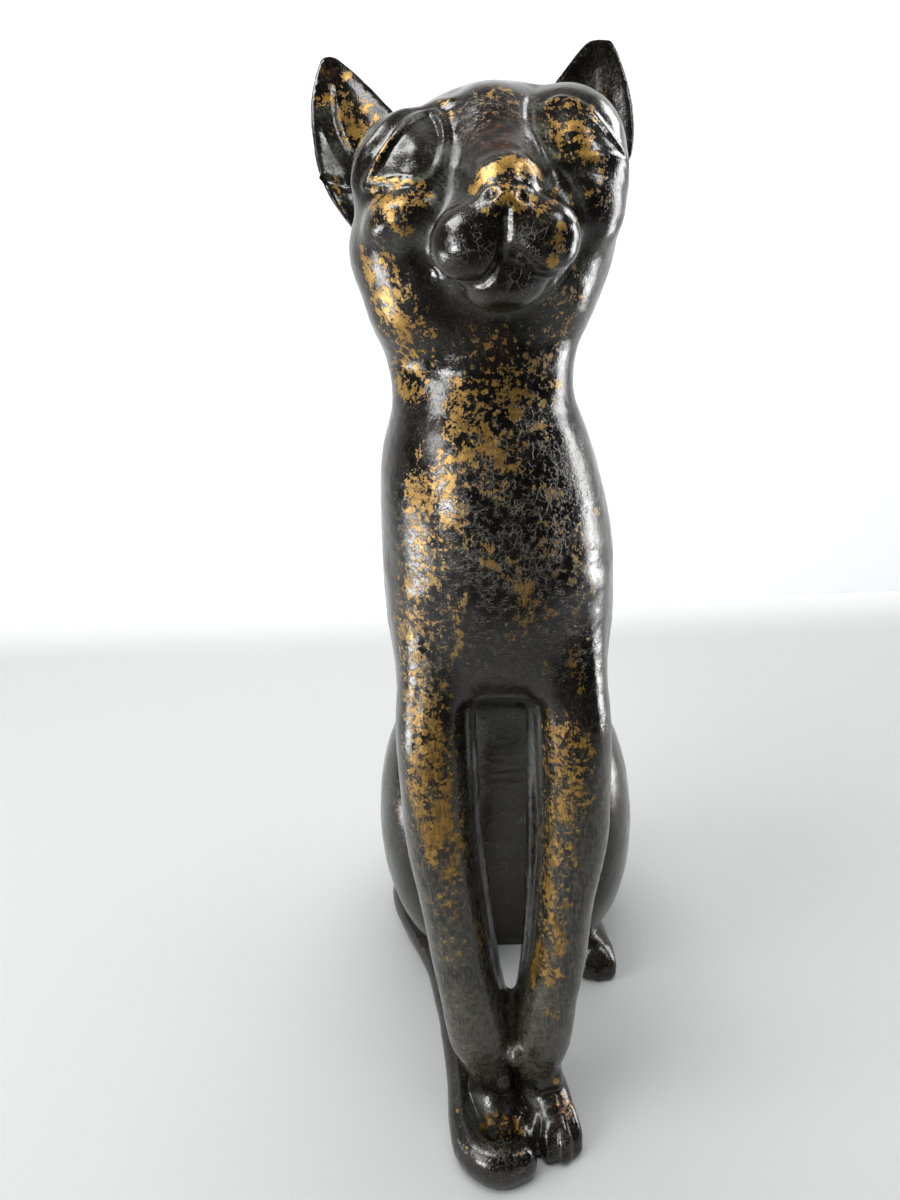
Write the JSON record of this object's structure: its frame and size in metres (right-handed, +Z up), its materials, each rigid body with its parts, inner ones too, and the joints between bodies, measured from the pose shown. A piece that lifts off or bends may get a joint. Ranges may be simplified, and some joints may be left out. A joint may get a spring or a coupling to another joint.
{
  "type": "cat statue",
  "caption": "Seated slender cat carved in one piece, head tilted up, ears pricked, forelegs joined low down, tail curled round to the forepaws; crackled dark lacquer over gold.",
  "frame": {"origin": "middle of the footprint's bounding box, on the surface it stands on", "axes": "+Z up, from the flat underside to the ear tips; the cat faces -Y; +X is the cat's own left side"},
  "size_m": [0.142, 0.2365, 0.45],
  "materials": {
    "lacquered_wood": "glossy crackled black-brown lacquer, worn to ochre gold in patches"
  },
  "bodies": {
    "root": {"cat_statue": "lacquered_wood"}
  },
  "joints": []
}
